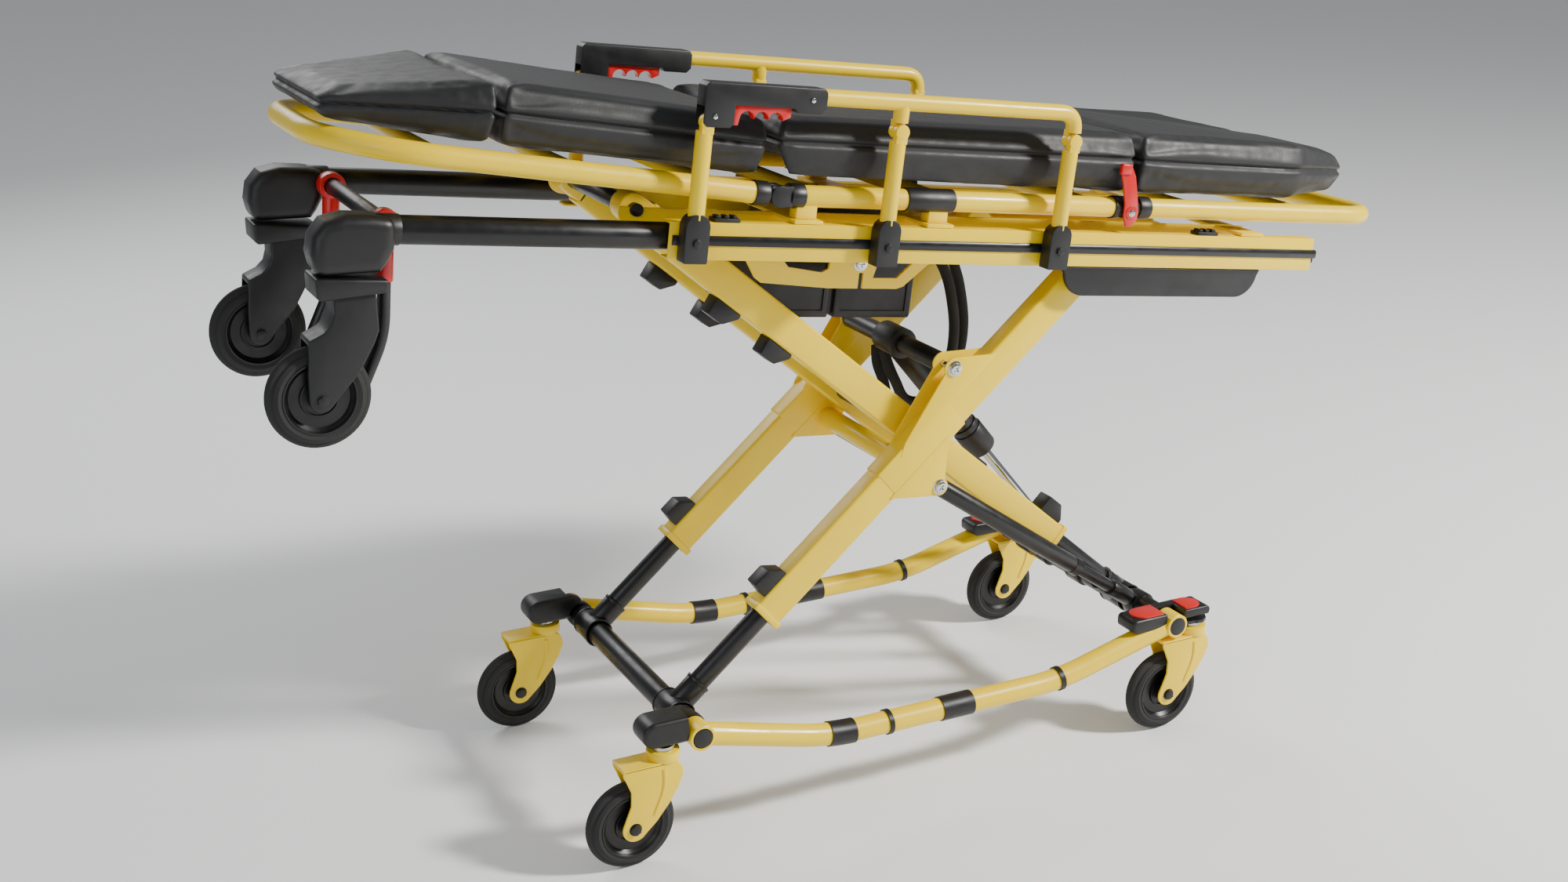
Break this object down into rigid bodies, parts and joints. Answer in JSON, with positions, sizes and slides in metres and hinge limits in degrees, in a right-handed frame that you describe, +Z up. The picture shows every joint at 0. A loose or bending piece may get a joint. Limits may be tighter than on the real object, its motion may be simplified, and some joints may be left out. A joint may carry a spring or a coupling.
{
  "type": "ambulance cot",
  "caption": "Wheeled ambulance cot: sectioned padded litter over a telescoping X-frame undercarriage on swivel casters, with folding side rails and loading wheels at the head end.",
  "frame": {"origin": "on the floor, under the centre of the bounding box with the cot raised", "axes": "+X to the foot end, along the cot's length; +Z up; the patient's right side faces -Y"},
  "size_m": [2.047, 0.6, 1.2622],
  "materials": {
    "yellow_paint": "gloss lemon-yellow powder coat",
    "black_coat": "satin black coat",
    "black_plastic": "fine-grained charcoal plastic",
    "red_plastic": "smooth bright red plastic",
    "tyre_rubber": "dark grey rubber tread on a plastic hub",
    "hose_rubber": "smooth black hose",
    "polished_steel": "polished rod",
    "vinyl": "charcoal sealed vinyl with a soft sheen"
  },
  "bodies": {
    "base": {"base_side_tube_right": "yellow_paint", "base_side_tube_left": "yellow_paint", "head_caster_arm_right": "black_plastic", "head_caster_arm_left": "black_plastic", "foot_caster_arm_right": "black_plastic", "foot_caster_arm_left": "black_plastic"},
    "brake_pedal_right": {"brake_pedal_right": "black_plastic"},
    "brake_pedal_left": {"brake_pedal_left": "black_plastic"},
    "caster_head_right": {"caster_fork_head_right": "yellow_paint"},
    "wheel_head_right": {"caster_wheel_head_right": "tyre_rubber"},
    "caster_head_left": {"caster_fork_head_left": "yellow_paint"},
    "wheel_head_left": {"caster_wheel_head_left": "tyre_rubber"},
    "caster_foot_right": {"caster_fork_foot_right": "yellow_paint"},
    "wheel_foot_right": {"caster_wheel_foot_right": "tyre_rubber"},
    "caster_foot_left": {"caster_fork_foot_left": "yellow_paint"},
    "wheel_foot_left": {"caster_wheel_foot_left": "tyre_rubber"},
    "outer_legs_lower": {"outer_leg_lower_frame": "black_coat"},
    "outer_legs": {"outer_leg_frame": "yellow_paint"},
    "inner_legs": {"inner_leg_frame": "yellow_paint"},
    "inner_legs_lower": {"inner_leg_lower_frame": "black_coat"},
    "strut_tube_right": {"support_strut_tube_right": "black_coat"},
    "strut_rod_right": {"support_strut_rod_right": "black_coat"},
    "strut_tube_left": {"support_strut_tube_left": "black_coat"},
    "strut_rod_left": {"support_strut_rod_left": "black_coat"},
    "cylinder": {"hydraulic_cylinder": "black_coat"},
    "piston": {"piston_rod": "polished_steel"},
    "litter": {"side_channel_right": "yellow_paint", "side_channel_left": "yellow_paint", "foot_skirt_right": "black_plastic", "foot_skirt_left": "black_plastic", "litter_subframe": "yellow_paint", "hydraulic_unit": "black_plastic", "hydraulic_hose_inner": "hose_rubber", "hydraulic_hose_outer": "hose_rubber", "seat_frame": "yellow_paint", "mattress_seat": "vinyl"},
    "backrest": {"backrest_frame": "yellow_paint", "mattress_back": "vinyl", "mattress_head": "vinyl"},
    "leg_section": {"leg_frame": "yellow_paint", "mattress_leg": "vinyl"},
    "foot_release_lever": {"foot_release_lever": "red_plastic"},
    "head_section": {"head_section_frame": "black_coat", "load_leg_right": "black_plastic", "load_leg_left": "black_plastic"},
    "load_wheel_right": {"load_wheel_right": "tyre_rubber"},
    "load_wheel_left": {"load_wheel_left": "tyre_rubber"},
    "safety_bar": {"safety_bar": "red_plastic"},
    "siderail_post_head_right": {"siderail_post_head_right": "yellow_paint"},
    "siderail_post_middle_right": {"siderail_post_middle_right": "yellow_paint"},
    "siderail_post_foot_right": {"siderail_post_foot_right": "yellow_paint"},
    "siderail_right": {"siderail_rail_right": "yellow_paint", "siderail_handle_right": "black_plastic"},
    "siderail_latch_right": {"siderail_latch_right": "red_plastic"},
    "siderail_post_head_left": {"siderail_post_head_left": "yellow_paint"},
    "siderail_post_middle_left": {"siderail_post_middle_left": "yellow_paint"},
    "siderail_post_foot_left": {"siderail_post_foot_left": "yellow_paint"},
    "siderail_left": {"siderail_rail_left": "yellow_paint", "siderail_handle_left": "black_plastic"},
    "siderail_latch_left": {"siderail_latch_left": "red_plastic"}
  },
  "joints": [
    {"name": "brake_pedal_turn_right", "type": "hinge", "parent": "base", "child": "brake_pedal_right", "pos_m": [0.5405, -0.272, 0.211], "axis": [0, 1, 0], "range_deg": [0, 4]},
    {"name": "brake_pedal_turn_left", "type": "hinge", "parent": "base", "child": "brake_pedal_left", "pos_m": [0.5405, 0.272, 0.211], "axis": [0, 1, 0], "range_deg": [0, 4]},
    {"name": "swivel_head_right", "type": "hinge", "parent": "base", "child": "caster_head_right", "pos_m": [-0.4649, -0.272, 0.2056], "axis": [0, 0, 1], "continuous": true},
    {"name": "wheel_spin_head_right", "type": "hinge", "parent": "caster_head_right", "child": "wheel_head_right", "pos_m": [-0.5249, -0.272, 0.076], "axis": [0, 1, 0], "continuous": true},
    {"name": "swivel_head_left", "type": "hinge", "parent": "base", "child": "caster_head_left", "pos_m": [-0.4649, 0.272, 0.2056], "axis": [0, 0, 1], "continuous": true},
    {"name": "wheel_spin_head_left", "type": "hinge", "parent": "caster_head_left", "child": "wheel_head_left", "pos_m": [-0.5249, 0.272, 0.076], "axis": [0, 1, 0], "continuous": true},
    {"name": "swivel_foot_right", "type": "hinge", "parent": "base", "child": "caster_foot_right", "pos_m": [0.5919, -0.272, 0.2056], "axis": [0, 0, 1], "continuous": true},
    {"name": "wheel_spin_foot_right", "type": "hinge", "parent": "caster_foot_right", "child": "wheel_foot_right", "pos_m": [0.5319, -0.272, 0.076], "axis": [0, 1, 0], "continuous": true},
    {"name": "swivel_foot_left", "type": "hinge", "parent": "base", "child": "caster_foot_left", "pos_m": [0.5919, 0.272, 0.2056], "axis": [0, 0, 1], "continuous": true},
    {"name": "wheel_spin_foot_left", "type": "hinge", "parent": "caster_foot_left", "child": "wheel_foot_left", "pos_m": [0.5319, 0.272, 0.076], "axis": [0, 1, 0], "continuous": true},
    {"name": "lift", "type": "hinge", "parent": "base", "child": "outer_legs_lower", "pos_m": [-0.4055, 0, 0.211], "axis": [0, 1, 0], "range_deg": [0, 31.45]},
    {"name": "outer_slide", "type": "slide", "parent": "outer_legs_lower", "child": "outer_legs", "axis": [0.761, 0, 0.6488], "range_m": [-0.1428, 0]},
    {"name": "crossing", "type": "hinge", "parent": "outer_legs", "child": "inner_legs", "pos_m": [0.06752, 0, 0.61428], "axis": [0, 1, 0], "range_deg": [-62.95, 0]},
    {"name": "inner_slide", "type": "slide", "parent": "inner_legs", "child": "inner_legs_lower", "axis": [-0.761, 0, 0.6488], "range_m": [0, 0.1428]},
    {"name": "strut_turn_right", "type": "hinge", "parent": "outer_legs", "child": "strut_tube_right", "pos_m": [0.08553, -0.181, 0.52596], "axis": [0, 1, 0], "range_deg": [-67.3, 0]},
    {"name": "strut_slide_right", "type": "slide", "parent": "strut_tube_right", "child": "strut_rod_right", "axis": [0.8222, 0, -0.5692], "range_m": [-0.0497, 0]},
    {"name": "strut_turn_left", "type": "hinge", "parent": "outer_legs", "child": "strut_tube_left", "pos_m": [0.08553, 0.181, 0.52596], "axis": [0, 1, 0], "range_deg": [-67.3, 0]},
    {"name": "strut_slide_left", "type": "slide", "parent": "strut_tube_left", "child": "strut_rod_left", "axis": [0.8222, 0, -0.5692], "range_m": [-0.0497, 0]},
    {"name": "cylinder_turn", "type": "hinge", "parent": "outer_legs", "child": "cylinder", "pos_m": [0.10853, 0, 0.73203], "axis": [0, 1, 0], "range_deg": [-59.6, 0]},
    {"name": "piston_slide", "type": "slide", "parent": "cylinder", "child": "piston", "axis": [0.6382, 0, -0.7698], "range_m": [-0.2701, 0]},
    {"name": "litter_tilt", "type": "hinge", "parent": "inner_legs", "child": "litter", "pos_m": [-0.43781, 0, 1.04508], "axis": [0, 1, 0], "range_deg": [0, 23.85], "deforming": ["hydraulic_hose_inner", "hydraulic_hose_outer"]},
    {"name": "backrest_tilt", "type": "hinge", "parent": "litter", "child": "backrest", "pos_m": [-0.22564, 0, 1.0571], "axis": [0, 1, 0], "range_deg": [-4, 65], "deforming": ["mattress_back"]},
    {"name": "leg_tilt", "type": "hinge", "parent": "litter", "child": "leg_section", "pos_m": [0.43923, 0, 0.97429], "axis": [0, 1, 0], "range_deg": [-15, 0], "deforming": ["mattress_leg"]},
    {"name": "foot_lever_turn", "type": "hinge", "parent": "litter", "child": "foot_release_lever", "pos_m": [0.43265, -0.228, 0.97007], "axis": [0, 1, 0], "range_deg": [0, 20], "stiffness_Nm_per_rad": 2},
    {"name": "head_section_slide", "type": "slide", "parent": "litter", "child": "head_section", "axis": [0.9923, 0, -0.1236], "range_m": [0, 0.3]},
    {"name": "load_wheel_spin_right", "type": "hinge", "parent": "head_section", "child": "load_wheel_right", "pos_m": [-0.9475, -0.195, 0.834], "axis": [0, 1, 0], "continuous": true},
    {"name": "load_wheel_spin_left", "type": "hinge", "parent": "head_section", "child": "load_wheel_left", "pos_m": [-0.9475, 0.195, 0.834], "axis": [0, 1, 0], "continuous": true},
    {"name": "safety_bar_swing", "type": "hinge", "parent": "head_section", "child": "safety_bar", "pos_m": [-0.82349, 0, 1.06305], "axis": [0, 1, 0], "range_deg": [-35, 3], "stiffness_Nm_per_rad": 6, "springref_deg": 1.72},
    {"name": "siderail_post_head_right_turn", "type": "hinge", "parent": "litter", "child": "siderail_post_head_right", "pos_m": [-0.38587, -0.2475, 1.00854], "axis": [0, 1, 0], "range_deg": [0, 75.01]},
    {"name": "siderail_fold_right", "type": "hinge", "parent": "litter", "child": "siderail_post_middle_right", "pos_m": [-0.05741, -0.2475, 0.96762], "axis": [0, 1, 0], "range_deg": [0, 75]},
    {"name": "siderail_post_foot_right_turn", "type": "hinge", "parent": "litter", "child": "siderail_post_foot_right", "pos_m": [0.26808, -0.2475, 0.92708], "axis": [0, 1, 0], "range_deg": [0, 75.01]},
    {"name": "siderail_level_right", "type": "hinge", "parent": "siderail_post_middle_right", "child": "siderail_right", "pos_m": [-0.03516, -0.2475, 1.14624], "axis": [0, 1, 0], "range_deg": [-75.01, 0]},
    {"name": "siderail_latch_press_right", "type": "slide", "parent": "siderail_right", "child": "siderail_latch_right", "axis": [0.1236, 0, 0.9923], "range_m": [0, 0.006], "stiffness_N_per_m": 400},
    {"name": "siderail_post_head_left_turn", "type": "hinge", "parent": "litter", "child": "siderail_post_head_left", "pos_m": [-0.38587, 0.2475, 1.00854], "axis": [0, 1, 0], "range_deg": [0, 75.01]},
    {"name": "siderail_fold_left", "type": "hinge", "parent": "litter", "child": "siderail_post_middle_left", "pos_m": [-0.05741, 0.2475, 0.96762], "axis": [0, 1, 0], "range_deg": [0, 75]},
    {"name": "siderail_post_foot_left_turn", "type": "hinge", "parent": "litter", "child": "siderail_post_foot_left", "pos_m": [0.26808, 0.2475, 0.92708], "axis": [0, 1, 0], "range_deg": [0, 75.01]},
    {"name": "siderail_level_left", "type": "hinge", "parent": "siderail_post_middle_left", "child": "siderail_left", "pos_m": [-0.03516, 0.2475, 1.14624], "axis": [0, 1, 0], "range_deg": [-75.01, 0]},
    {"name": "siderail_latch_press_left", "type": "slide", "parent": "siderail_left", "child": "siderail_latch_left", "axis": [0.1236, 0, 0.9923], "range_m": [0, 0.006], "stiffness_N_per_m": 400}
  ],
  "couplings": [
    {"joint": "outer_slide", "follows": "lift", "m_per_rad": -0.25997},
    {"joint": "crossing", "follows": "lift", "ratio": -2},
    {"joint": "inner_slide", "follows": "lift", "m_per_rad": 0.25997},
    {"joint": "strut_turn_right", "follows": "lift", "ratio": -2.1386},
    {"joint": "strut_slide_right", "follows": "lift", "m_per_rad": -0.09036},
    {"joint": "strut_turn_left", "follows": "lift", "ratio": -2.1386},
    {"joint": "strut_slide_left", "follows": "lift", "m_per_rad": -0.09036},
    {"joint": "cylinder_turn", "follows": "lift", "ratio": -1.8935},
    {"joint": "piston_slide", "follows": "lift", "m_per_rad": -0.49188},
    {"joint": "litter_tilt", "follows": "lift", "ratio": 0.758},
    {"joint": "siderail_post_head_right_turn", "follows": "siderail_fold_right", "ratio": 1},
    {"joint": "siderail_post_foot_right_turn", "follows": "siderail_fold_right", "ratio": 1},
    {"joint": "siderail_level_right", "follows": "siderail_fold_right", "ratio": -1},
    {"joint": "siderail_post_head_left_turn", "follows": "siderail_fold_left", "ratio": 1},
    {"joint": "siderail_post_foot_left_turn", "follows": "siderail_fold_left", "ratio": 1},
    {"joint": "siderail_level_left", "follows": "siderail_fold_left", "ratio": -1}
  ]
}
